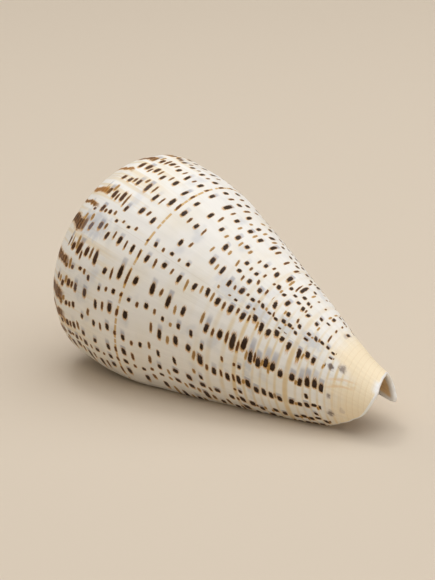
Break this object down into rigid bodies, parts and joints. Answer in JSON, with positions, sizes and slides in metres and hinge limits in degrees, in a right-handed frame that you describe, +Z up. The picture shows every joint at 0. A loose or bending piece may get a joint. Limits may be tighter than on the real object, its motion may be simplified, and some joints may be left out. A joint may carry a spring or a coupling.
{
  "type": "cone shell",
  "caption": "Heavy right-handed cone snail shell with a low spire, rounded shoulder and long slit opening, lying on the opening.",
  "frame": {"origin": "on the ground under the middle of the shell's box", "axes": "+X towards the narrow tip, along the shell's length; +Z up, with the opening facing down"},
  "size_m": [0.1006, 0.0596, 0.0566],
  "materials": {
    "shell": "glossy"
  },
  "bodies": {
    "root": {"shell": "shell"}
  },
  "joints": []
}
